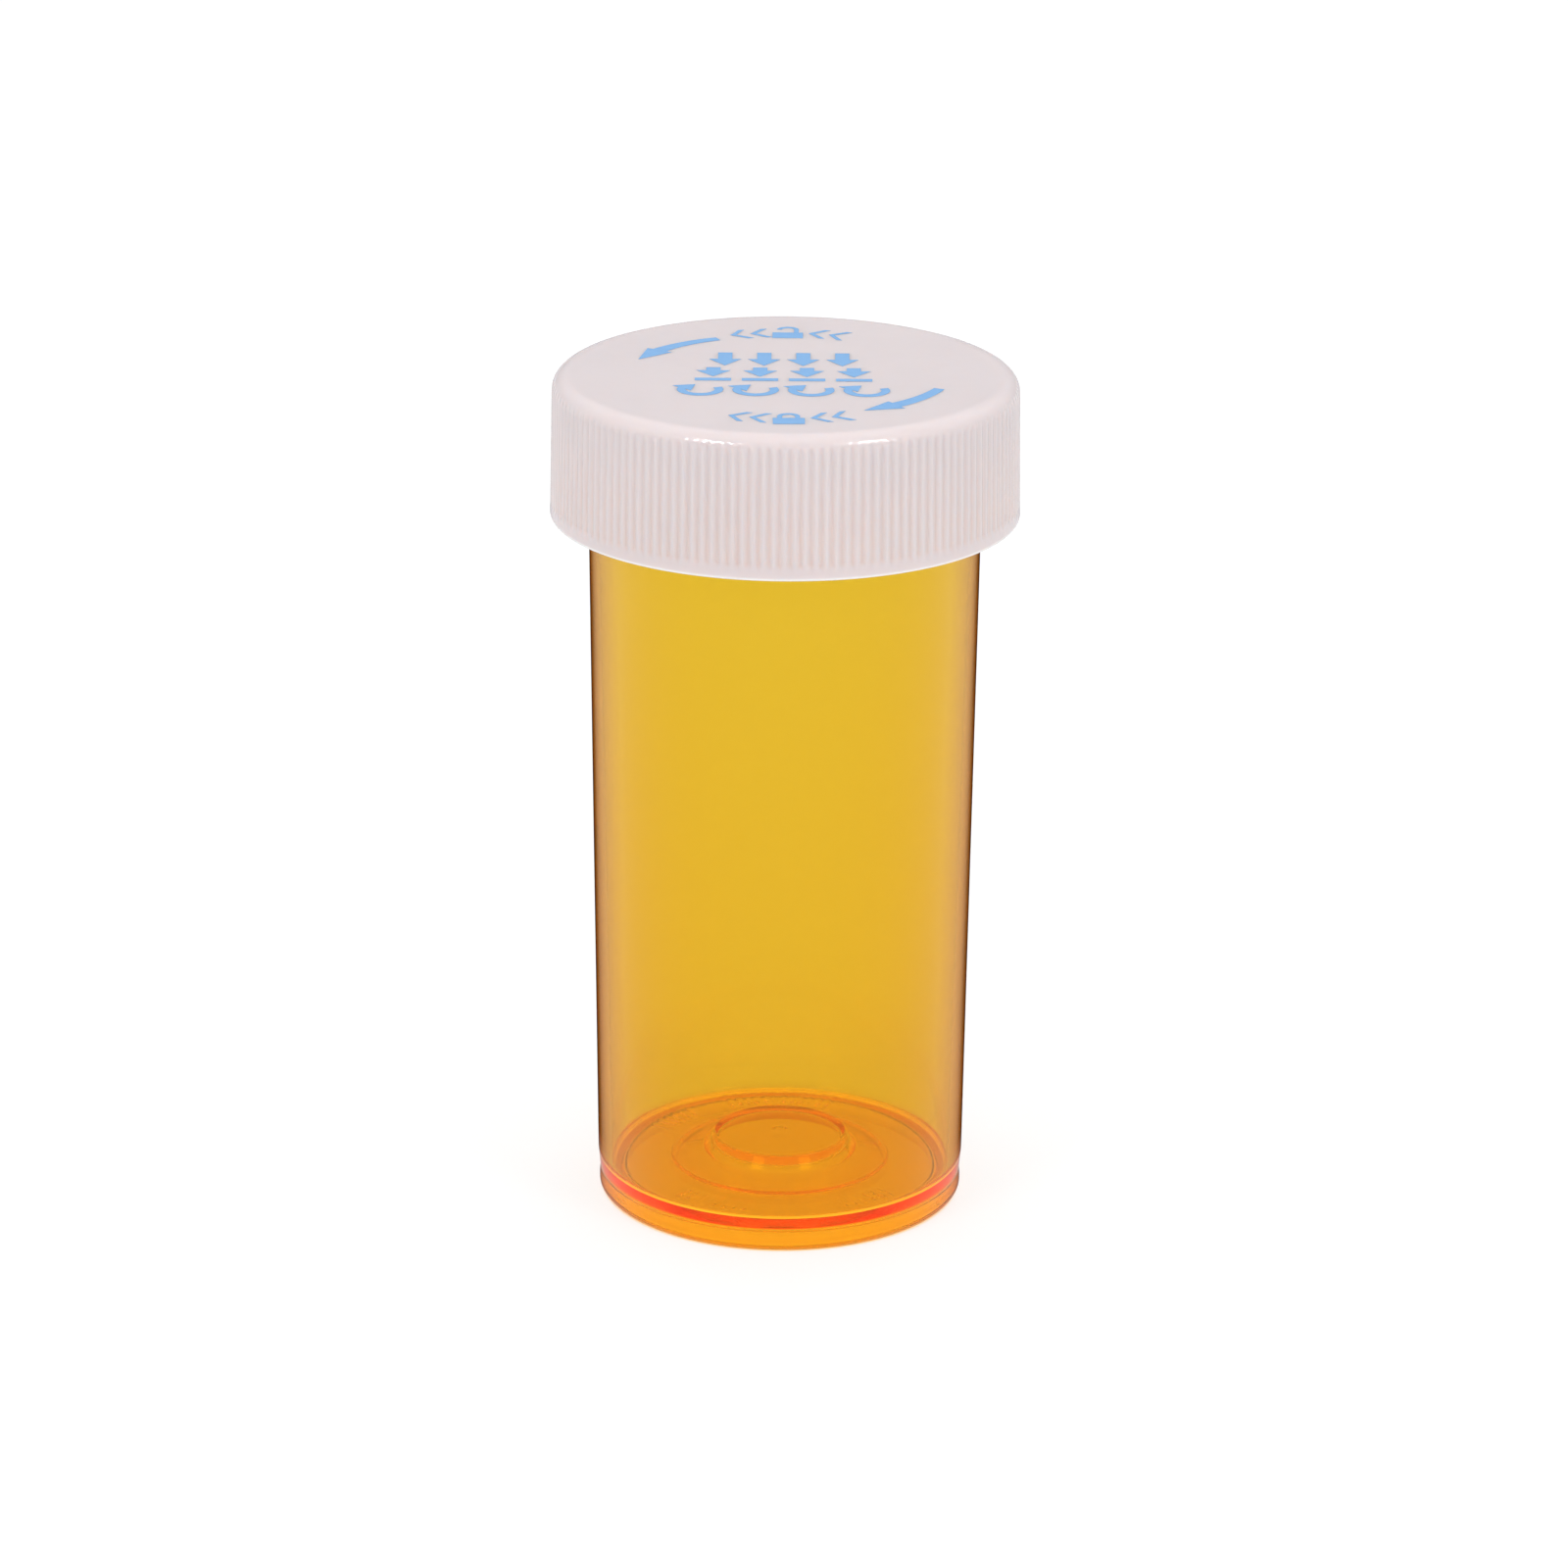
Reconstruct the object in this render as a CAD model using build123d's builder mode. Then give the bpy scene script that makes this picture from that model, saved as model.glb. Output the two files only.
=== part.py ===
from build123d import *
from math import asin, degrees
import os

# Push-and-turn prescription vial: a clear amber vial with lugs round its neck, a ribbed cap with
# lugs inside its skirt, and the domed disc in the cap that seals the mouth and springs the cap up.
# Millimetres, +Z up, origin at the centre of the foot, and every round surface is centred on Z.
# The cap stands at its turning height: pushed down on the disc, with each of its lugs in a gap
# between two of the vial's. There it is free to turn clockwise to the lock, or to lift off.

# ---- Driving dimensions -------------------------------------------------------------------------

# Overall
overall_height = 70.0
cap_height = 11.56
cap_radius_bottom = 18.93
cap_radius_top = 18.73
cap_bottom = overall_height - cap_height

# Vial body
body_radius_low = 15.17          # outside, where the straight draft ends above the foot
body_radius_high = 15.83         # outside, level with the cap's lower edge
draft_start = 3.4
rim_height = 66.9
mouth_radius = 15.27             # inside, at the rim
bore_radius_low = 14.10          # inside, at the floor
rim_rounding = 0.25

# Vial foot and floor
foot_radius = 15.06
foot_rounding = 0.55
foot_top = 0.95
foot_groove_radius = 15.02
foot_groove_bottom = 1.4
foot_groove_top = 1.7
foot_blend_radius = 1.5
foot_recess_radius = 13.2
foot_recess_depth = 1.45
floor_height = 2.6
floor_rounding = 0.6
push_up_foot_radius = 9.1        # raised centre of the floor, where it leaves the flat
push_up_kerb_radius = 9.0        # its small upright edge ends here
push_up_kerb_height = 2.9
push_up_kerb_rounding = 0.1
push_up_step_radius = 6.3        # from here on it is steep
push_up_step_height = 3.4
push_up_top_radius = 5.5
push_up_height = 4.55
push_up_wall = 1.15
push_up_inset = 0.35             # the hollow under it is this much smaller in radius
push_up_rounding = 0.4

# Bayonet lugs, on the vial's neck and inside the cap's skirt
lug_count = 6
lug_pitch = 360 / lug_count
vial_lug_radius = 17.25
vial_lug_arc = 36.0              # degrees
vial_lug_top = 66.0
notch_roof = 63.6
tooth_arc = 10.0                 # the step that a cap lug must dip under on its way in
tooth_bottom = 62.7
stop_arc = 6.0                   # the wall that ends the turn
stop_bottom = 60.2
cap_lug_inner_radius = 16.35
cap_lug_arc = 15.0
cap_lug_bottom = 60.0
cap_lug_top = 62.4

# Cap
cap_bore_radius = 17.65
cap_top_thickness = 1.2
cap_top_rounding = 1.35
cap_edge_rounding = 0.15
cap_inner_rounding = 0.5
bead_inner_radius = 17.0         # the ring that holds the disc in the cap
bead_bottom = 66.25
bead_top = 66.7
rib_count = 144
rib_groove_width = 0.52
rib_groove_depth = 0.16
rib_bottom = cap_bottom + 1.3
rib_top = overall_height - cap_top_rounding / 2      # the grooves run out in the top rounding

# Seal disc
disc_radius = 17.3
disc_thickness = 0.55
disc_underside = rim_height + 0.05
dome_radius_on_plan = 14.2
dome_rise = 1.2
plug_inner_radius = 14.55
plug_outer_radius = 15.05
plug_depth = 1.75
disc_rounding = 0.12


def ring_sector(inner_radius, outer_radius, start_angle, arc_size):
    """A face of a flat ring between two radii, from start_angle over arc_size degrees."""
    with BuildSketch(mode=Mode.PRIVATE) as sector:
        with BuildLine():
            inner_arc = CenterArc((0, 0), inner_radius, start_angle, arc_size)
            outer_arc = CenterArc((0, 0), outer_radius, start_angle, arc_size)
            Line(inner_arc @ 0, outer_arc @ 0)
            Line(inner_arc @ 1, outer_arc @ 1)
        make_face()
    return sector.sketch


# ---- Vial ---------------------------------------------------------------------------------------

body_draft = (body_radius_high - body_radius_low) / (cap_bottom - draft_start)
neck_radius = body_radius_high + body_draft * (rim_height - cap_bottom)

# Each corner of the wall's section, as radius, height and rounding, from the underside outwards
vial_corners = [
    (0, push_up_height - push_up_wall, 0),
    (push_up_top_radius - push_up_inset, push_up_height - push_up_wall, push_up_rounding),
    (push_up_step_radius - push_up_inset, push_up_step_height - push_up_wall, push_up_rounding),
    (push_up_foot_radius - push_up_inset, foot_recess_depth, push_up_rounding),
    (foot_recess_radius, foot_recess_depth, push_up_rounding),
    (foot_recess_radius, 0, rim_rounding),
    (foot_radius, 0, foot_rounding),
    (foot_radius, foot_top, foot_blend_radius),
    (foot_groove_radius, foot_groove_bottom, foot_blend_radius),
    (foot_groove_radius, foot_groove_top, foot_blend_radius),
    (body_radius_low, draft_start, foot_blend_radius),
    (neck_radius, rim_height, rim_rounding),
    (mouth_radius, rim_height, rim_rounding),
    (bore_radius_low, floor_height, floor_rounding),
    (push_up_foot_radius, floor_height, push_up_kerb_rounding),
    (push_up_kerb_radius, push_up_kerb_height, push_up_kerb_rounding),
    (push_up_step_radius, push_up_step_height, push_up_rounding),
    (push_up_top_radius, push_up_height, push_up_rounding),
    (0, push_up_height, 0),
]

with BuildPart() as vial:
    with BuildSketch(Plane.XZ):
        with BuildLine():
            FilletPolyline(
                [(radius, height) for radius, height, rounding in vial_corners],
                radius=[rounding for radius, height, rounding in vial_corners],
                close=True,
            )
        make_face()
    revolve(axis=Axis.Z)

    # Lugs: the bar, then under its two ends the tooth and the stop, which leave the notch between.
    # The bars stand midway between the cap's lugs, which are centred on 0, 60, 120 degrees...
    neck_wall_middle = (neck_radius + mouth_radius) / 2
    lug_start = (lug_pitch - vial_lug_arc) / 2
    tooth_start = lug_start + vial_lug_arc - tooth_arc
    with BuildSketch(Plane.XY.offset(notch_roof)):
        with PolarLocations(0, lug_count):
            add(ring_sector(neck_wall_middle, vial_lug_radius, lug_start, vial_lug_arc))
    extrude(amount=vial_lug_top - notch_roof)
    with BuildSketch(Plane.XY.offset(tooth_bottom)):
        with PolarLocations(0, lug_count):
            add(ring_sector(neck_wall_middle, vial_lug_radius, tooth_start, tooth_arc))
    extrude(amount=notch_roof - tooth_bottom)
    with BuildSketch(Plane.XY.offset(stop_bottom)):
        with PolarLocations(0, lug_count):
            add(ring_sector(neck_wall_middle, vial_lug_radius, lug_start, stop_arc))
    extrude(amount=notch_roof - stop_bottom)
vial.part.label = "vial"

# ---- Cap ----------------------------------------------------------------------------------------

cap_corners = [
    (0, overall_height, 0),
    (cap_radius_top, overall_height, cap_top_rounding),
    (cap_radius_bottom, cap_bottom, cap_edge_rounding),
    (cap_bore_radius, cap_bottom, cap_edge_rounding),
    (cap_bore_radius, bead_bottom - (cap_bore_radius - bead_inner_radius), 0),
    (bead_inner_radius, bead_bottom, cap_edge_rounding),
    (bead_inner_radius, bead_top, 0),
    (cap_bore_radius, bead_top, 0),
    (cap_bore_radius, overall_height - cap_top_thickness, cap_inner_rounding),
    (0, overall_height - cap_top_thickness, 0),
]

# One groove between two ribs: a V that leans with the skirt's draft
skirt_lean = (cap_radius_bottom - cap_radius_top) / cap_height
groove_foot_radius = cap_radius_bottom - skirt_lean * (rib_bottom - cap_bottom)
groove_plane = Plane(
    origin=(groove_foot_radius, 0, rib_bottom), x_dir=(0, 1, 0), z_dir=(-skirt_lean, 0, 1)
)
with BuildPart(mode=Mode.PRIVATE) as groove:
    with BuildSketch(groove_plane):
        with BuildLine():
            Polyline(
                (-rib_groove_width / 2, -rib_groove_depth / 2),
                (rib_groove_width / 2, -rib_groove_depth / 2),
                (0, rib_groove_depth),
                close=True,
            )
        make_face()
    extrude(amount=rib_top - rib_bottom)

with BuildPart() as cap:
    with BuildSketch(Plane.XZ):
        with BuildLine():
            FilletPolyline(
                [(radius, height) for radius, height, rounding in cap_corners],
                radius=[rounding for radius, height, rounding in cap_corners],
                close=True,
            )
        make_face()
    revolve(axis=Axis.Z)
    with PolarLocations(0, rib_count):
        add(groove.part, mode=Mode.SUBTRACT)
    skirt_middle = (cap_bore_radius + cap_radius_top) / 2
    with BuildSketch(Plane.XY.offset(cap_lug_bottom)):
        with PolarLocations(0, lug_count):
            add(ring_sector(cap_lug_inner_radius, skirt_middle, -cap_lug_arc / 2, cap_lug_arc))
    extrude(amount=cap_lug_top - cap_lug_bottom)
cap.part.label = "cap"

# ---- Seal disc ----------------------------------------------------------------------------------

# The dome's outer surface is an arc that is level at the axis and meets the flat flange
disc_top = disc_underside + disc_thickness
dome_sphere_radius = (dome_radius_on_plan**2 + dome_rise**2) / (2 * dome_rise)
dome_half_angle = degrees(asin(dome_radius_on_plan / dome_sphere_radius))

with BuildPart() as seal_disc:
    with BuildSketch(Plane.XZ):
        with BuildLine():
            upper_dome = JernArc(
                (0, disc_top + dome_rise), (1, 0), dome_sphere_radius, -dome_half_angle
            )
            lower_dome = JernArc(
                (0, disc_underside + dome_rise), (1, 0), dome_sphere_radius, -dome_half_angle
            )
            Line(upper_dome @ 0, lower_dome @ 0)
            Polyline(
                upper_dome @ 1,
                (disc_radius, disc_top),
                (disc_radius, disc_underside),
                (plug_outer_radius, disc_underside),
                (plug_outer_radius - disc_rounding, disc_underside - plug_depth),
                (plug_inner_radius + disc_rounding, disc_underside - plug_depth),
                (plug_inner_radius, disc_underside),
                lower_dome @ 1,
            )
        make_face()
    revolve(axis=Axis.Z)
seal_disc.part.label = "seal_disc"

# ---- Written parts ------------------------------------------------------------------------------

os.makedirs("parts", exist_ok=True)
export_step(vial.part, "parts/vial.step")
export_step(cap.part, "parts/cap.step")
export_step(seal_disc.part, "parts/seal_disc.step")
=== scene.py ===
from math import atan2, cos, degrees, hypot, pi, radians, sin, tan

import bmesh
import bpy
from mathutils import Matrix, Vector


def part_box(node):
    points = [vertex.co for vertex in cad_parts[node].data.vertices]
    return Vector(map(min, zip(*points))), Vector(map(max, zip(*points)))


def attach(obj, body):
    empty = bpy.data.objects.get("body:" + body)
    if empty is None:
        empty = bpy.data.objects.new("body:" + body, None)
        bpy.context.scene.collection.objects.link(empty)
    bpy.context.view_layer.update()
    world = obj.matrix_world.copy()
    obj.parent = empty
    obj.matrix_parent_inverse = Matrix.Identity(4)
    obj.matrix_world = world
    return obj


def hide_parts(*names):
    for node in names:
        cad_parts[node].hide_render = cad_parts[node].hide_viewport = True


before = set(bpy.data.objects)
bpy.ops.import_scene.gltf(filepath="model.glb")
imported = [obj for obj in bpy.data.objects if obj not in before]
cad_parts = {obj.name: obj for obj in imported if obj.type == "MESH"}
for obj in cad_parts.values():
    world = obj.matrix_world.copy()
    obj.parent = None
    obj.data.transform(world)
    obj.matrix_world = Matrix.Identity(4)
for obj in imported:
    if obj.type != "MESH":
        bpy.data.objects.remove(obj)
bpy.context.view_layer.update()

# A push-and-turn prescription vial: three moulded pieces, and the print on the cap.
# Blender works in metres. Sizes here are in millimetres and go through mm() on the way in.
MM = 0.001


def mm(*values):
    """Millimetres to metres: one number, or a vector of three."""
    return values[0] * MM if len(values) == 1 else Vector(values) * MM


# ---- Sizes --------------------------------------------------------------------------------------

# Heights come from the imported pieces
rim_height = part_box("vial")[1].z / MM
cap_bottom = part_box("cap")[0].z / MM
cap_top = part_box("cap")[1].z / MM
disc_underside = rim_height + 0.05

# Vial: outside, inside, foot, raised floor
body_radius_low, body_radius_high, draft_start = 15.17, 15.83, 3.4
mouth_radius, bore_radius_low = 15.27, 14.10
foot_radius, foot_top, foot_rounding = 15.06, 0.95, 0.55
groove_radius, groove_bottom, groove_top, groove_blend = 15.02, 1.4, 1.7, 1.5
recess_radius, recess_depth = 13.2, 1.45
floor_height, floor_rounding = 2.6, 0.6
push_up_foot, push_up_step, push_up_top = 9.1, 6.3, 5.5
push_up_step_height, push_up_height = 3.4, 4.55
push_up_wall, push_up_inset, push_up_rounding = 1.15, 0.35, 0.4
kerb_radius, kerb_height, kerb_rounding = 9.0, 2.9, 0.1
gate_radius, gate_depth = 0.5, 0.04
edge_rounding, soft_rounding = 0.25, 0.5

# The mould's marks on the floor: groups of short bars, each group from one angle to another
mark_inner, mark_outer, mark_height = 10.6, 12.5, 0.07
mark_rows = (mark_outer + 0.1, mark_outer - 0.1, mark_inner + 0.1, mark_inner - 0.1)
mark_groups = ((65, 115), (130, 155), (225, 260), (292, 318))

# Bayonet lugs: angles in degrees from the middle of a gap
lug_count = 6
lug_radius, lug_start, lug_end = 17.25, 12, 48
lug_top, notch_roof = 66.0, 63.6
tooth_start, tooth_bottom = 38, 62.7
stop_end, stop_bottom = 18, 60.2
cap_lug_radius, cap_lug_half_arc = 16.35, 7.5
cap_lug_bottom, cap_lug_top = 60.0, 62.4

# Cap
cap_radius_bottom, cap_radius_top, cap_bore = 18.93, 18.73, 17.65
cap_thickness, cap_rounding, cap_edge = 1.2, 1.35, 0.2
bead_radius, bead_bottom, bead_top = 17.0, 66.25, 66.7
rib_count, rib_depth = 144, 0.11
rib_bottom, rib_end = cap_bottom + 1.3, 0.08

# Print on the cap
ink_sink, ink_height = 0.02, 0.015

# Seal disc
disc_radius, disc_thickness = 17.3, 0.55
dome_radius, dome_rise = 14.2, 1.2
plug_inner, plug_outer, plug_depth = 14.55, 15.05, 1.75

body_draft = (body_radius_high - body_radius_low) / (cap_bottom - draft_start)
cap_lean = (cap_radius_bottom - cap_radius_top) / (cap_top - cap_bottom)


# ---- Outlines and lathed meshes -----------------------------------------------------------------


def rounded(corners, steps=7):
    """Points of a closed outline of (radius, height, rounding) corners, each rounding as an arc."""
    points = []
    for index, (radius, height, rounding) in enumerate(corners):
        corner = Vector((radius, height))
        if rounding == 0:
            points.append(corner)
            continue
        back = (Vector(corners[index - 1][:2]) - corner).normalized()
        ahead = (Vector(corners[(index + 1) % len(corners)][:2]) - corner).normalized()
        half_angle = back.angle(ahead) / 2
        centre = corner + (back + ahead).normalized() * (rounding / sin(half_angle))
        spoke = corner + back * (rounding / tan(half_angle)) - centre
        end_spoke = corner + ahead * (rounding / tan(half_angle)) - centre
        turn = spoke.angle_signed(end_spoke)
        for step in range(steps + 1):
            points.append(centre + Matrix.Rotation(-turn * step / steps, 2) @ spoke)
    return points


def with_rows(points, guard=0.35, longest=3.0):
    """The same outline with a row near each end of every long run, and evenly spaced rows between."""
    result = []
    for index, point in enumerate(points):
        run = points[(index + 1) % len(points)] - point
        result.append(point)
        if run.length > 3 * guard:
            inner = run.length - 2 * guard
            parts = max(1, round(inner / longest))
            for part in range(parts + 1):
                result.append(point + run * ((guard + inner * part / parts) / run.length))
    return result


def lathe(name, outline, segments, reshape=None):
    """A closed mesh: the outline, in millimetres, turned about Z. Points on the axis become one vertex.

    reshape(radius, height, angle) may move a point of the surface to another radius and height."""
    vertices, rows, faces = [], [], []
    for radius, height in outline:
        on_axis = radius < 1e-6
        row = []
        for step in range(1 if on_axis else segments):
            angle = 2 * pi * step / segments
            r, z = reshape(radius, height, angle) if reshape else (radius, height)
            row.append(len(vertices))
            vertices.append(mm(r * cos(angle), r * sin(angle), z))
        rows.append(row * segments if on_axis else row)
    for index, row in enumerate(rows):
        following = rows[(index + 1) % len(rows)]
        if row[0] == row[-1] and following[0] == following[-1]:
            continue
        for step in range(segments):
            ahead = (step + 1) % segments
            corners = [row[step], row[ahead], following[ahead], following[step]]
            faces.append([v for place, v in enumerate(corners) if v not in corners[:place]])
    mesh = bpy.data.meshes.new(name)
    mesh.from_pydata(vertices, [], faces)
    piece = bpy.data.objects.new(name, mesh)
    bpy.context.scene.collection.objects.link(piece)
    return piece


def push_faces(mesh_data, chosen, radius):
    """Extrudes the chosen faces of a round wall until they stand at another radius."""
    bm = bmesh.new()
    bm.from_mesh(mesh_data)
    picked = [face for face in bm.faces if chosen(face.calc_center_median() / MM)]
    grown = bmesh.ops.extrude_face_region(bm, geom=picked)["geom"]
    for vertex in (item for item in grown if isinstance(item, bmesh.types.BMVert)):
        vertex.co.xy = vertex.co.xy.normalized() * mm(radius)
    bm.normal_update()
    bm.to_mesh(mesh_data)
    bm.free()


def finish_mesh(piece, sharp_angle=40):
    """Faces outward, smooth shaded except across real edges."""
    bm = bmesh.new()
    bm.from_mesh(piece.data)
    bmesh.ops.recalc_face_normals(bm, faces=bm.faces)
    bm.to_mesh(piece.data)
    bm.free()
    piece.data.shade_smooth()
    piece.data.set_sharp_from_angle(angle=radians(sharp_angle))


def angle_in_lug(point):
    """The angle of a point, in degrees, from the middle of the gap before its lug."""
    return degrees(atan2(point.y, point.x)) % (360 / lug_count)


# ---- Materials ----------------------------------------------------------------------------------


# Where a colour Mix node keeps its two colours and its result
MIX_A, MIX_B, MIX_RESULT = 6, 7, 2


def colour(hex_code):
    """An sRGB hex colour as linear RGBA."""
    channels = [int(hex_code[place : place + 2], 16) / 255 for place in (1, 3, 5)]
    return [c / 12.92 if c <= 0.04045 else ((c + 0.055) / 1.055) ** 2.4 for c in channels] + [1.0]


def add_node(tree, kind, settings=None, inputs=None):
    """Adds a node. Settings are its own properties, and inputs are values or sockets to link from."""
    node = tree.nodes.new(kind)
    for name, value in (settings or {}).items():
        setattr(node, name, value)
    for name, value in (inputs or {}).items():
        if isinstance(value, bpy.types.NodeSocket):
            tree.links.new(value, node.inputs[name])
        else:
            node.inputs[name].default_value = value
    return node


def new_material(name):
    """An empty material, its node tree and its output node."""
    material = bpy.data.materials.new(name)
    material.use_nodes = True
    material.node_tree.nodes.clear()
    return material, material.node_tree, add_node(material.node_tree, "ShaderNodeOutputMaterial")


def moulded_amber_polypropylene():
    """Clarified polypropylene dyed amber, moulded against polished steel: clear as glass, and deeper in
    colour where the eye looks through more of it. Painted shade turns the round wall almost brown along
    its edges, its reflections carry a painted amber tint, and the sand-textured faces give a painted glow
    from inside. The mould's faint waves and a haze of handling break its shine. The underside is sand-textured."""
    material, tree, output = new_material("moulded_amber_polypropylene")
    place = add_node(tree, "ShaderNodeTexCoord").outputs["Object"]
    surface_shape = add_node(tree, "ShaderNodeNewGeometry")
    slope = add_node(tree, "ShaderNodeSeparateXYZ", inputs={"Vector": surface_shape.outputs["Normal"]})
    haze = add_node(
        tree,
        "ShaderNodeTexNoise",
        inputs={"Vector": place, "Scale": 1 / mm(6.0), "Detail": 4.0, "Roughness": 0.6},
    )
    gloss = add_node(
        tree,
        "ShaderNodeMapRange",
        inputs={"Value": haze.outputs["Fac"], "From Min": 0.3, "From Max": 0.8, "To Min": 0.02, "To Max": 0.07},
    )
    # Sand texture: on whatever faces down, and on the little wall inside the foot ring
    sand = add_node(
        tree,
        "ShaderNodeMapRange",
        inputs={"Value": slope.outputs["Z"], "From Min": -0.3, "From Max": -0.8, "To Max": 0.5},
    )
    height = add_node(tree, "ShaderNodeSeparateXYZ", inputs={"Vector": place}).outputs["Z"]
    outward = add_node(
        tree,
        "ShaderNodeVectorMath",
        settings={"operation": "DOT_PRODUCT"},
        inputs={0: surface_shape.outputs["Normal"], 1: place},
    )
    in_ring = add_node(
        tree,
        "ShaderNodeMapRange",
        inputs={"Value": outward.outputs["Value"], "From Min": mm(-4.0), "From Max": mm(-8.0), "To Max": 0.5},
    )
    low = add_node(
        tree,
        "ShaderNodeMapRange",
        inputs={"Value": height, "From Min": mm(recess_depth + 0.3), "From Max": mm(recess_depth)},
    )
    ring_sand = add_node(
        tree,
        "ShaderNodeMath",
        settings={"operation": "MULTIPLY"},
        inputs={0: in_ring.outputs["Result"], 1: low.outputs["Result"]},
    )
    all_sand = add_node(
        tree,
        "ShaderNodeMath",
        settings={"operation": "MAXIMUM"},
        inputs={0: sand.outputs["Result"], 1: ring_sand.outputs["Value"]},
    )
    roughness = add_node(
        tree,
        "ShaderNodeMath",
        settings={"operation": "MAXIMUM"},
        inputs={0: all_sand.outputs["Value"], 1: gloss.outputs["Result"]},
    )
    waves = add_node(
        tree, "ShaderNodeTexNoise", inputs={"Vector": place, "Scale": 1 / mm(9.0), "Detail": 1.0}
    )
    ripple = add_node(
        tree,
        "ShaderNodeBump",
        inputs={"Height": waves.outputs["Fac"], "Strength": 0.12, "Distance": mm(0.15)},
    )
    # Painted shade: a brown coat, weighted by how slanted the wall is seen, darkens the outside of the round wall
    # to brown along both sides of the body
    slant = add_node(tree, "ShaderNodeLayerWeight", inputs={"Blend": 0.5})
    painted_rim_shade = add_node(
        tree,
        "ShaderNodeMapRange",
        inputs={"Value": slant.outputs["Facing"], "From Min": 0.5, "From Max": 0.85},
    )
    outside = add_node(
        tree,
        "ShaderNodeMapRange",
        inputs={"Value": outward.outputs["Value"], "From Min": mm(14.6), "From Max": mm(15.0)},
    )
    above_foot = add_node(
        tree,
        "ShaderNodeMapRange",
        inputs={"Value": height, "From Min": mm(floor_height), "From Max": mm(2 * floor_height), "To Min": 0.8},
    )
    on_wall = add_node(
        tree,
        "ShaderNodeMath",
        settings={"operation": "MULTIPLY"},
        inputs={0: outside.outputs["Result"], 1: above_foot.outputs["Result"]},
    )
    painted_rim_shade_on_wall = add_node(
        tree,
        "ShaderNodeMath",
        settings={"operation": "MULTIPLY"},
        inputs={0: painted_rim_shade.outputs["Result"], 1: on_wall.outputs["Value"]},
    )
    # Painted glow: the sand-textured faces emit amber light, seen from inside the plastic only, in place of
    # light that creeps in through the walls and is scattered back up into the floor and the foot.
    painted_glow = add_node(
        tree,
        "ShaderNodeMath",
        settings={"operation": "MULTIPLY"},
        inputs={0: all_sand.outputs["Value"], 1: surface_shape.outputs["Backfacing"]},
    )
    surface = add_node(
        tree,
        "ShaderNodeBsdfPrincipled",
        inputs={
            "Base Color": colour("#EFEB90"),
            "Roughness": roughness.outputs["Value"],
            "IOR": 1.49,
            # Specular Tint: a painted amber tint in every reflection, standing in for the amber-lit floor they
            # show
            "Specular Tint": colour("#FFE462"),
            "Transmission Weight": 0.97,
            # Coat Weight and Coat Tint: the painted brown shade along the body's sides
            "Coat Weight": painted_rim_shade_on_wall.outputs["Value"],
            "Coat IOR": 1.0,
            "Coat Tint": (0.85, 0.75, 0.6, 1.0),
            # Emission: the painted glow from the sand-textured faces
            "Emission Color": (0.92, 1.2, 0.2, 1.0),
            "Emission Strength": painted_glow.outputs["Value"],
            "Normal": ripple.outputs["Normal"],
        },
    )
    # Dye: what a metre of it takes out of red, green and blue, as colour and density
    dye = add_node(
        tree,
        "ShaderNodeVolumeAbsorption",
        inputs={"Color": (0.9995, 0.915, 0.7, 1.0), "Density": 3000.0},
    )
    tree.links.new(surface.outputs["BSDF"], output.inputs["Surface"])
    tree.links.new(dye.outputs["Volume"], output.inputs["Volume"])
    return material


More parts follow.
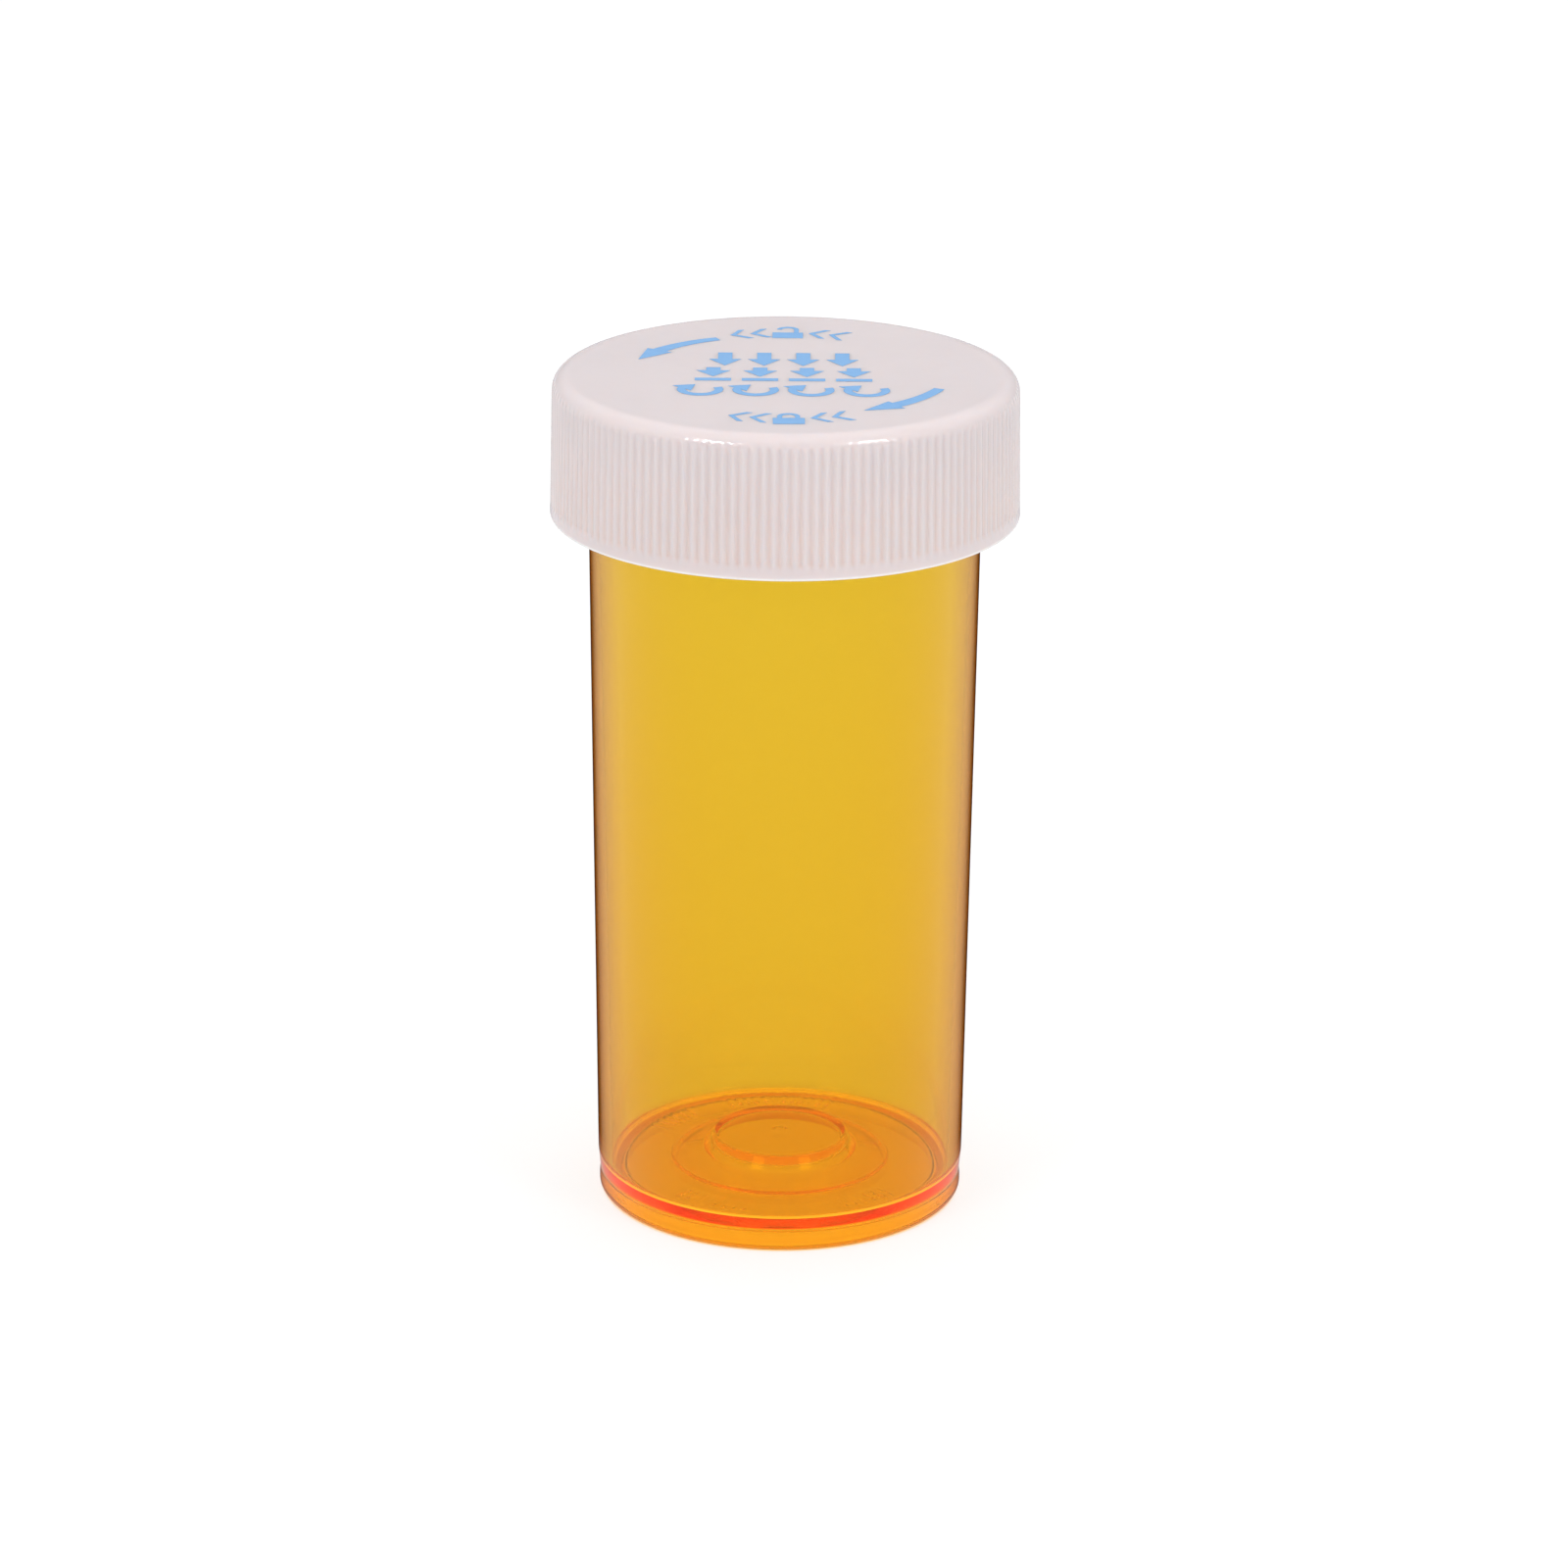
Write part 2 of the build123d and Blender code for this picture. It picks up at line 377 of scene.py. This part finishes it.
def moulded_white_polypropylene():
    """Natural polypropylene with a little white, moulded: milky, so light creeps through its walls.
    The bottoms of the grip grooves low on the skirt carry painted amber light, as from the neck behind,
    the thin lip round the mouth is a painted highlight, and the satin skin has the mould's faint waves
    and painted shade that dulls it a little at its outline."""
    material, tree, output = new_material("moulded_white_polypropylene")
    place = add_node(tree, "ShaderNodeTexCoord").outputs["Object"]
    clouds = add_node(
        tree,
        "ShaderNodeTexNoise",
        inputs={"Vector": place, "Scale": 1 / mm(9.0), "Detail": 3.0, "Roughness": 0.5},
    )
    tone = add_node(
        tree,
        "ShaderNodeMix",
        settings={"data_type": "RGBA"},
        inputs={"Factor": clouds.outputs["Fac"], MIX_A: colour("#DFD5D6"), MIX_B: colour("#E6DCDC")},
    )
    # How deep a point lies in a groove, allowing for the skirt's draft
    parts = add_node(tree, "ShaderNodeSeparateXYZ", inputs={"Vector": place})
    on_plan = add_node(
        tree,
        "ShaderNodeVectorMath",
        settings={"operation": "MULTIPLY"},
        inputs={0: place, 1: (1.0, 1.0, 0.0)},
    )
    radius = add_node(
        tree,
        "ShaderNodeVectorMath",
        settings={"operation": "LENGTH"},
        inputs={0: on_plan.outputs["Vector"]},
    )
    undrafted = add_node(
        tree,
        "ShaderNodeMath",
        settings={"operation": "MULTIPLY_ADD"},
        inputs={0: parts.outputs["Z"], 1: cap_lean, 2: radius.outputs["Value"]},
    )
    face = mm(cap_radius_bottom + cap_lean * cap_bottom)
    in_groove = add_node(
        tree,
        "ShaderNodeMapRange",
        inputs={"Value": undrafted.outputs["Value"], "From Min": face, "From Max": face - mm(rib_depth)},
    )
    low_down = add_node(
        tree,
        "ShaderNodeMapRange",
        inputs={
            "Value": parts.outputs["Z"],
            "From Min": mm(cap_top - cap_rounding),
            "From Max": mm(cap_bottom + 3.0),
            "To Max": 0.35,
        },
    )
    # Painted amber light: groove bottoms tint peach, up to 35% low on the skirt and fading out towards the top,
    # for light from the amber neck behind
    painted_amber_light = add_node(
        tree,
        "ShaderNodeMath",
        settings={"operation": "MULTIPLY"},
        inputs={0: in_groove.outputs["Result"], 1: low_down.outputs["Result"]},
    )
    tone_with_painted_amber = add_node(
        tree,
        "ShaderNodeMix",
        settings={"data_type": "RGBA"},
        inputs={
            "Factor": painted_amber_light.outputs["Value"],
            MIX_A: tone.outputs[MIX_RESULT],
            MIX_B: colour("#EED6C8"),
        },
    )
    # Painted highlight: the skirt's lowest 0.3 mm turns almost white, as if the floor lit its edge
    lip = add_node(
        tree,
        "ShaderNodeMapRange",
        inputs={
            "Value": parts.outputs["Z"],
            "From Min": mm(cap_bottom + 0.3),
            "From Max": mm(cap_bottom + 0.1),
        },
    )
    tone_with_painted_light = add_node(
        tree,
        "ShaderNodeMix",
        settings={"data_type": "RGBA"},
        inputs={
            "Factor": lip.outputs["Result"],
            MIX_A: tone_with_painted_amber.outputs[MIX_RESULT],
            MIX_B: colour("#FFFCFA"),
        },
    )
    waves = add_node(
        tree, "ShaderNodeTexNoise", inputs={"Vector": place, "Scale": 1 / mm(2.0), "Detail": 1.0}
    )
    skin = add_node(
        tree,
        "ShaderNodeBump",
        inputs={"Height": waves.outputs["Fac"], "Strength": 0.1, "Distance": mm(0.05)},
    )
    gloss = add_node(
        tree,
        "ShaderNodeMapRange",
        inputs={"Value": clouds.outputs["Fac"], "From Min": 0.3, "From Max": 0.7, "To Min": 0.09, "To Max": 0.13},
    )
    surface = add_node(
        tree,
        "ShaderNodeBsdfPrincipled",
        inputs={
            "Base Color": tone_with_painted_light.outputs[MIX_RESULT],
            "Roughness": gloss.outputs["Result"],
            "IOR": 1.49,
            "Subsurface Weight": 1.0,
            "Subsurface Radius": (1.0, 0.85, 0.75),
            "Subsurface Scale": mm(1.2),
            # Coat with IOR 1 and a grey tint: painted shade, greying the skin a little where it is seen at a
            # slant, towards its outline
            "Coat Weight": 1.0,
            "Coat IOR": 1.0,
            "Coat Tint": (0.974, 0.972, 0.975, 1.0),
            "Normal": skin.outputs["Normal"],
        },
    )
    tree.links.new(surface.outputs["BSDF"], output.inputs["Surface"])
    return material


def moulded_ldpe():
    """Unpigmented low-density polyethylene, moulded thin: waxy, cloudy and soft looking."""
    material, tree, output = new_material("moulded_ldpe")
    place = add_node(tree, "ShaderNodeTexCoord").outputs["Object"]
    clouds = add_node(
        tree, "ShaderNodeTexNoise", inputs={"Vector": place, "Scale": 1 / mm(3.0), "Detail": 4.0}
    )
    tone = add_node(
        tree,
        "ShaderNodeMix",
        settings={"data_type": "RGBA"},
        inputs={"Factor": clouds.outputs["Fac"], MIX_A: colour("#E4E4E0"), MIX_B: colour("#EFEFEC")},
    )
    gloss = add_node(
        tree,
        "ShaderNodeMapRange",
        inputs={"Value": clouds.outputs["Fac"], "From Min": 0.3, "From Max": 0.7, "To Min": 0.42, "To Max": 0.52},
    )
    surface = add_node(
        tree,
        "ShaderNodeBsdfPrincipled",
        inputs={
            "Base Color": tone.outputs[MIX_RESULT],
            "Roughness": gloss.outputs["Result"],
            "IOR": 1.51,
            "Subsurface Weight": 1.0,
            "Subsurface Radius": (1.0, 0.95, 0.85),
            "Subsurface Scale": mm(1.0),
        },
    )
    tree.links.new(surface.outputs["BSDF"], output.inputs["Surface"])
    return material


def pad_printed_ink():
    """Sky-blue pad-printing ink: an opaque glossy film that is a touch uneven."""
    material, tree, output = new_material("pad_printed_ink")
    place = add_node(tree, "ShaderNodeTexCoord").outputs["Object"]
    patches = add_node(
        tree, "ShaderNodeTexNoise", inputs={"Vector": place, "Scale": 1 / mm(0.8), "Detail": 3.0}
    )
    tone = add_node(
        tree,
        "ShaderNodeMix",
        settings={"data_type": "RGBA"},
        inputs={"Factor": patches.outputs["Fac"], MIX_A: colour("#64A2DC"), MIX_B: colour("#72ACE2")},
    )
    surface = add_node(
        tree,
        "ShaderNodeBsdfPrincipled",
        inputs={"Base Color": tone.outputs[MIX_RESULT], "Roughness": 0.25, "IOR": 1.5},
    )
    tree.links.new(surface.outputs["BSDF"], output.inputs["Surface"])
    return material


def backlit_opal_acrylic():
    """A light table's opal sheet: matt, almost white, and lit evenly from below, so that clear
    plastic standing on it glows and its shadow is faint. Under the vial's foot its glow is a painted amber pool
    of light."""
    material, tree, output = new_material("backlit_opal_acrylic")
    place = add_node(tree, "ShaderNodeTexCoord").outputs["Object"]
    cast = add_node(
        tree, "ShaderNodeTexNoise", inputs={"Vector": place, "Scale": 1 / mm(40.0), "Detail": 2.0}
    )
    tone = add_node(
        tree,
        "ShaderNodeMix",
        settings={"data_type": "RGBA"},
        inputs={"Factor": cast.outputs["Fac"], MIX_A: colour("#A0A0A0"), MIX_B: colour("#A4A4A4")},
    )
    # Painted pool of amber light within 15 mm of the middle, under the vial's foot, where light through the vial
    # would fall on the sheet
    from_middle = add_node(
        tree, "ShaderNodeVectorMath", settings={"operation": "LENGTH"}, inputs={0: place}
    )
    painted_pool_mask = add_node(
        tree,
        "ShaderNodeMapRange",
        inputs={"Value": from_middle.outputs["Value"], "From Min": mm(15.0), "From Max": mm(14.5)},
    )
    tint = add_node(
        tree,
        "ShaderNodeMix",
        settings={"data_type": "RGBA"},
        inputs={
            "Factor": painted_pool_mask.outputs["Result"],
            MIX_A: (0.67, 0.67, 0.67, 1.0),
            MIX_B: (0.8, 0.46, 0.08, 1.0),
        },
    )
    surface = add_node(
        tree,
        "ShaderNodeBsdfPrincipled",
        inputs={
            "Base Color": tone.outputs[MIX_RESULT],
            "Roughness": 0.9,
            "Specular IOR Level": 0.1,
            "Emission Color": tint.outputs[MIX_RESULT],
            "Emission Strength": 1.0,
        },
    )
    tree.links.new(surface.outputs["BSDF"], output.inputs["Surface"])
    return material


# ---- Vial ---------------------------------------------------------------------------------------


def body_radius(height):
    """The outside radius of the drafted body at a height."""
    return body_radius_low + body_draft * (height - draft_start)


def make_vial(material):
    """The amber vial: lathed wall, foot and raised floor, with six lugs pushed out of the neck."""
    lug_rows = [(body_radius(z), z, 0) for z in (stop_bottom, tooth_bottom, notch_roof, lug_top)]
    corners = [
        (0, push_up_height - push_up_wall, 0),
        (push_up_top - push_up_inset, push_up_height - push_up_wall, push_up_rounding),
        (push_up_step - push_up_inset, push_up_step_height - push_up_wall, push_up_rounding),
        (push_up_foot - push_up_inset, recess_depth, push_up_rounding),
        (recess_radius, recess_depth, soft_rounding),
        (recess_radius, 0, edge_rounding),
        (foot_radius, 0, foot_rounding),
        (foot_radius, foot_top, groove_blend),
        (groove_radius, groove_bottom, groove_blend),
        (groove_radius, groove_top, groove_blend),
        (body_radius_low, draft_start, groove_blend),
        *lug_rows,
        (body_radius(rim_height), rim_height, edge_rounding),
        (mouth_radius, rim_height, edge_rounding),
        (bore_radius_low, floor_height, floor_rounding),
        *[(radius, floor_height, 0) for radius in mark_rows],
        (push_up_foot, floor_height, kerb_rounding),
        (kerb_radius, kerb_height, kerb_rounding),
        (push_up_step, push_up_step_height, push_up_rounding),
        (push_up_top, push_up_height, push_up_rounding),
        (gate_radius + 0.3, push_up_height, 0.2),
        (gate_radius, push_up_height - gate_depth, 0.1),
        (0, push_up_height - gate_depth, 0),
    ]

    def marked(radius, height, angle):
        """Raises the mould's small marks, groups of short bars, on the floor round the raised centre."""
        on_floor = mark_inner < radius < mark_outer and abs(height - floor_height) < 0.01
        turn = degrees(angle) % 360
        in_group = any(start < turn < end for start, end in mark_groups)
        return radius, height + mark_height * (on_floor and in_group and turn % 4 < 2)

    piece = lathe("vial_body", with_rows(rounded(corners)), segments=360, reshape=marked)

    def in_lug(point):
        outside = hypot(point.x, point.y) > (mouth_radius + body_radius(point.z)) / 2
        angle = angle_in_lug(point)
        if not outside or not lug_start < angle < lug_end or not point.z < lug_top:
            return False
        in_bar = point.z > notch_roof
        in_tooth = point.z > tooth_bottom and angle > tooth_start
        in_stop = point.z > stop_bottom and angle < stop_end
        return in_bar or in_tooth or in_stop

    push_faces(piece.data, in_lug, lug_radius)
    finish_mesh(piece)
    piece.data.materials.append(material)
    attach(piece, "vial")
    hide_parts("vial")
    return piece


# ---- Cap ----------------------------------------------------------------------------------------


def smooth_step(low, high, value):
    """0 below low, 1 above high, and an even S between."""
    share = min(1.0, max(0.0, (value - low) / (high - low)))
    return share * share * (3 - 2 * share)


def make_cap(material):
    """The white cap: lathed shell with grip ribs outside, the disc's bead and six lugs inside."""
    bead_slope = cap_bore - bead_radius

    def skirt(height):
        return cap_radius_bottom - cap_lean * (height - cap_bottom)

    corners = [
        (0, cap_top, 0),
        (cap_radius_top, cap_top, cap_rounding),
        (skirt(rib_bottom + rib_end), rib_bottom + rib_end, 0),
        (skirt(rib_bottom), rib_bottom, 0),
        (cap_radius_bottom, cap_bottom, cap_edge),
        (cap_bore, cap_bottom, cap_edge),
        (cap_bore, cap_lug_bottom, 0),
        (cap_bore, cap_lug_top, 0),
        (cap_bore, bead_bottom - bead_slope, 0),
        (bead_radius, bead_bottom, cap_edge),
        (bead_radius, bead_top, 0),
        (cap_bore, bead_top, 0),
        (cap_bore, cap_top - cap_thickness, soft_rounding),
        (0, cap_top - cap_thickness, 0),
    ]

    def ribbed(radius, height, angle):
        """Cuts the grip grooves, which run out in the rounding at the top."""
        outside = radius > (cap_bore + cap_radius_top) / 2
        if not outside or height <= rib_bottom:
            return radius, height
        valley = 0.5 - 0.5 * cos(rib_count * angle)
        return min(radius, skirt(height) - rib_depth * valley), height

    piece = lathe("cap_shell", with_rows(rounded(corners)), segments=6 * rib_count, reshape=ribbed)

    def in_lug(point):
        inside = hypot(point.x, point.y) < (cap_bore + cap_radius_top) / 2
        angle = angle_in_lug(point)
        near_lug = min(angle, 360 / lug_count - angle) < cap_lug_half_arc
        return inside and near_lug and cap_lug_bottom < point.z < cap_lug_top

    push_faces(piece.data, in_lug, cap_lug_radius)
    finish_mesh(piece)
    piece.data.materials.append(material)
    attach(piece, "cap")
    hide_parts("cap")
    return piece


# ---- Print on the cap ---------------------------------------------------------------------------
# Symbols stand where the cap's printed instructions are: turn arrows, push symbols and padlocks.
# Outlines are lists of (x, y) points in millimetres, seen from above with +Y away from the front.


def polar(radius, angle):
    """The point at a radius and an angle in degrees."""
    return Vector((radius * cos(radians(angle)), radius * sin(radians(angle))))


def arc(radius, start, end, steps=16):
    """Points along an arc about the origin, from one angle to another in degrees."""
    return [polar(radius, start + (end - start) * step / steps) for step in range(steps + 1)]


def arrow(line, tail_width, neck_width, head_width, head_length):
    """An arrow's outline along a line of points: a shaft that may widen, and a pointed head."""
    tip = line[-1]
    shaft = [point for point in line if (point - tip).length > head_length]
    left, right = [], []
    for index, point in enumerate(shaft):
        ahead = shaft[index + 1] - point if index + 1 < len(shaft) else tip - point
        side = Vector((-ahead.y, ahead.x)).normalized()
        width = tail_width + (neck_width - tail_width) * index / max(1, len(shaft) - 1)
        left.append(point + side * width / 2)
        right.append(point - side * width / 2)
    neck = shaft[-1]
    side = Vector((neck.y - tip.y, tip.x - neck.x)).normalized()
    barbs = [neck + side * head_width / 2, tip, neck - side * head_width / 2]
    return left + barbs + right[::-1]


def straight(start, end, steps=6):
    """Points along a straight line."""
    return [Vector(start).lerp(Vector(end), step / steps) for step in range(steps + 1)]


def bar(width, height, centre):
    """A rectangle's outline."""
    x, y = centre
    return [
        Vector((x + across * width / 2, y + along * height / 2))
        for across, along in ((-1, -1), (1, -1), (1, 1), (-1, 1))
    ]


def push_symbol():
    """A broad arrow that points down."""
    return [arrow(straight((0, 1.95), (0, -1.95)), 1.15, 1.15, 2.6, 1.9)]


def press_symbol():
    """An arrow that points down onto a bar."""
    return [arrow(straight((0, 1.95), (0, -0.75)), 1.15, 1.15, 2.7, 1.5), bar(2.9, 0.75, (0, -1.6))]


def turn_symbol():
    """Most of a ring that ends in an arrowhead, clockwise."""
    return [arrow(arc(1.5, 25, -255, steps=36), 0.7, 0.7, 2.1, 1.4)]


def padlock(lift):
    """A padlock. Its shackle stands lift above where it is when the lock is shut."""
    body = bar(2.5, 1.7, (0, -0.75))
    crown = Vector((0, 0.55 + lift))
    outer = [crown + point for point in arc(0.9, 0, 180)]
    inner = [crown + point for point in arc(0.5, 180, 0)]
    foot = 0.12
    free_end = foot + 2 * lift
    shackle = [Vector((0.9, foot)), *outer, Vector((-0.9, free_end)), Vector((-0.5, free_end))]
    return [body, [*shackle, *inner, Vector((0.5, foot))]]


def chevron():
    """A mark like an arrowhead that points left, the way both turns go as seen from the front."""
    return [[Vector(p) for p in ((0.4, 1.3), (-0.7, 0), (0.4, -1.3), (0.9, -1.3), (-0.2, 0), (0.9, 1.3))]]


def placed(outlines, centre, turn=0):
    """The outlines turned by an angle in degrees and moved to a centre."""
    spin = Matrix.Rotation(radians(turn), 2)
    return [[Vector(centre) + spin @ point for point in outline] for outline in outlines]


def make_print(name, outlines, material):
    """A film of ink, one thin plate to an outline, sunk a little into the cap's top."""
    bm = bmesh.new()
    for outline in outlines:
        bottom = bm.faces.new([bm.verts.new(mm(p.x, p.y, cap_top - ink_sink)) for p in outline])
        grown = bmesh.ops.extrude_face_region(bm, geom=[bottom])["geom"]
        raised = [item for item in grown if isinstance(item, bmesh.types.BMVert)]
        bmesh.ops.translate(bm, verts=raised, vec=mm(0, 0, ink_sink + ink_height))
    mesh = bpy.data.meshes.new(name)
    bm.to_mesh(mesh)
    bm.free()
    piece = bpy.data.objects.new(name, mesh)
    bpy.context.scene.collection.objects.link(piece)
    finish_mesh(piece, sharp_angle=30)
    piece.data.materials.append(material)
    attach(piece, "cap")


def make_prints(material):
    """All of the print: two curved arrows, three rows of symbols, and a line of marks on each side."""
    far_arrow = arrow(
        [polar(11.7 + 0.8 * step / 20, 118.5 + 44.0 * step / 20) for step in range(21)], 0.9, 1.25, 2.3, 2.9
    )
    near_arrow = arrow(
        [polar(12.9 - 0.5 * step / 20, -19.5 - 41.0 * step / 20) for step in range(21)], 0.9, 1.25, 2.3, 2.9
    )
    make_print("turn_arrows", [far_arrow, near_arrow], material)
    rows = (
        (push_symbol(), 4, 3.15, 4.1),
        (press_symbol(), 4, 3.75, -0.4),
        (turn_symbol(), 4, 4.4, -5.0),
    )
    symbols = []
    for symbol, count, pitch, height in rows:
        for index in range(count):
            symbols += placed(symbol, ((index - (count - 1) / 2) * pitch - 0.2, height))
    make_print("push_symbols", symbols, material)
    marks = []
    for centre_angle, radius, upright, lift in ((89.5, 12.3, -90, 0.45), (-89.0, 13.2, 90, 0.0)):
        marks += placed(padlock(lift), polar(radius, centre_angle), centre_angle + upright)
        for along in (-4.1, -2.4, 2.4, 4.1):
            angle = centre_angle + degrees(along / radius)
            marks += placed(chevron(), polar(radius, angle), angle + upright)
    make_print("lock_symbols", marks, material)


# ---- Seal disc ----------------------------------------------------------------------------------


def make_disc(material):
    """The domed disc that seals the mouth, with the plug ring that centres it in the bore."""
    sphere = (dome_radius**2 + dome_rise**2) / (2 * dome_rise)
    top = disc_underside + disc_thickness
    steps = 12

    def dome(height, share):
        radius = dome_radius * share
        return (radius, height + dome_rise - sphere + (sphere**2 - radius**2) ** 0.5, 0)

    corners = [dome(top, step / steps) for step in range(steps + 1)]
    corners += [
        (disc_radius, top, 0.12),
        (disc_radius, disc_underside, 0.12),
        (plug_outer, disc_underside, 0),
        (plug_outer - 0.12, disc_underside - plug_depth, 0.15),
        (plug_inner + 0.12, disc_underside - plug_depth, 0.15),
        (plug_inner, disc_underside, 0),
    ]
    corners += [dome(disc_underside, 1 - step / steps) for step in range(steps + 1)]
    piece = lathe("seal_diaphragm", rounded(corners, steps=4), segments=192)
    finish_mesh(piece)
    piece.data.materials.append(material)
    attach(piece, "seal")
    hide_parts("seal_disc")
    return piece


# ---- Studio -------------------------------------------------------------------------------------


def make_floor(material):
    """A wide pale floor that the vial stands on."""
    bm = bmesh.new()
    bmesh.ops.create_grid(bm, x_segments=8, y_segments=8, size=3.0)
    mesh = bpy.data.meshes.new("studio_floor")
    bm.to_mesh(mesh)
    bm.free()
    floor = bpy.data.objects.new("studio_floor", mesh)
    floor.location.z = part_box("vial")[0].z - mm(0.02)
    floor.data.materials.append(material)
    bpy.context.scene.collection.objects.link(floor)


def softbox(name, place, aim, size, power, gives):
    """A square area light at a place, in metres, turned to face another. It gives light, or a highlight."""
    light = bpy.data.lights.new(name, "AREA")
    light.size = size
    light.energy = power
    lamp = bpy.data.objects.new(name, light)
    lamp.location = place
    lamp.rotation_euler = (Vector(aim) - Vector(place)).to_track_quat("-Z", "Y").to_euler()
    lamp.visible_diffuse = gives == "light"
    lamp.visible_glossy = gives == "highlight"
    bpy.context.scene.collection.objects.link(lamp)


def make_world(strength):
    """Even light from all round."""
    world = bpy.data.worlds.new("studio_air")
    world.use_nodes = True
    world.node_tree.nodes.clear()
    air = add_node(
        world.node_tree,
        "ShaderNodeBackground",
        inputs={"Color": colour("#FFFFFF"), "Strength": strength},
    )
    output = add_node(world.node_tree, "ShaderNodeOutputWorld")
    world.node_tree.links.new(air.outputs["Background"], output.inputs["Surface"])
    bpy.context.scene.world = world


def make_camera():
    """A long lens in front of the vial, a little above it."""
    aim, distance, elevation, roll = mm(0.1, 0, 35.15), mm(483.45), radians(19.44), radians(0.47)
    camera = bpy.data.objects.new("camera", bpy.data.cameras.new("camera"))
    camera.data.lens, camera.data.sensor_width = 135.47, 36.0
    camera.location = aim + distance * Vector((0, -cos(elevation), sin(elevation)))
    look = (aim - camera.location).to_track_quat("-Z", "Y").to_matrix()
    camera.rotation_euler = (look @ Matrix.Rotation(roll, 3, "Z")).to_euler()
    bpy.context.scene.collection.objects.link(camera)
    bpy.context.scene.camera = camera


make_camera()
make_world(0.62)
softbox("softbox_top", (0.0, 0.1, 1.0), (0, 0, 0.03), 0.9, 4.7, gives="light")
softbox("softbox_left", (-0.39, -0.44, 0.55), (0, 0, 0.06), 0.2, 0.8, gives="light")
softbox("softbox_right", (0.43, -0.39, 0.55), (0, 0, 0.06), 0.2, 0.8, gives="light")
softbox("reflector_left", (-0.39, -0.44, 0.55), (0, 0, 0.06), 0.2, 4.0, gives="highlight")
softbox("reflector_right", (0.43, -0.39, 0.55), (0, 0, 0.06), 0.2, 4.0, gives="highlight")
bpy.context.scene.view_settings.view_transform = "Standard"
make_floor(backlit_opal_acrylic())
make_vial(moulded_amber_polypropylene())
make_cap(moulded_white_polypropylene())
make_disc(moulded_ldpe())
make_prints(pad_printed_ink())
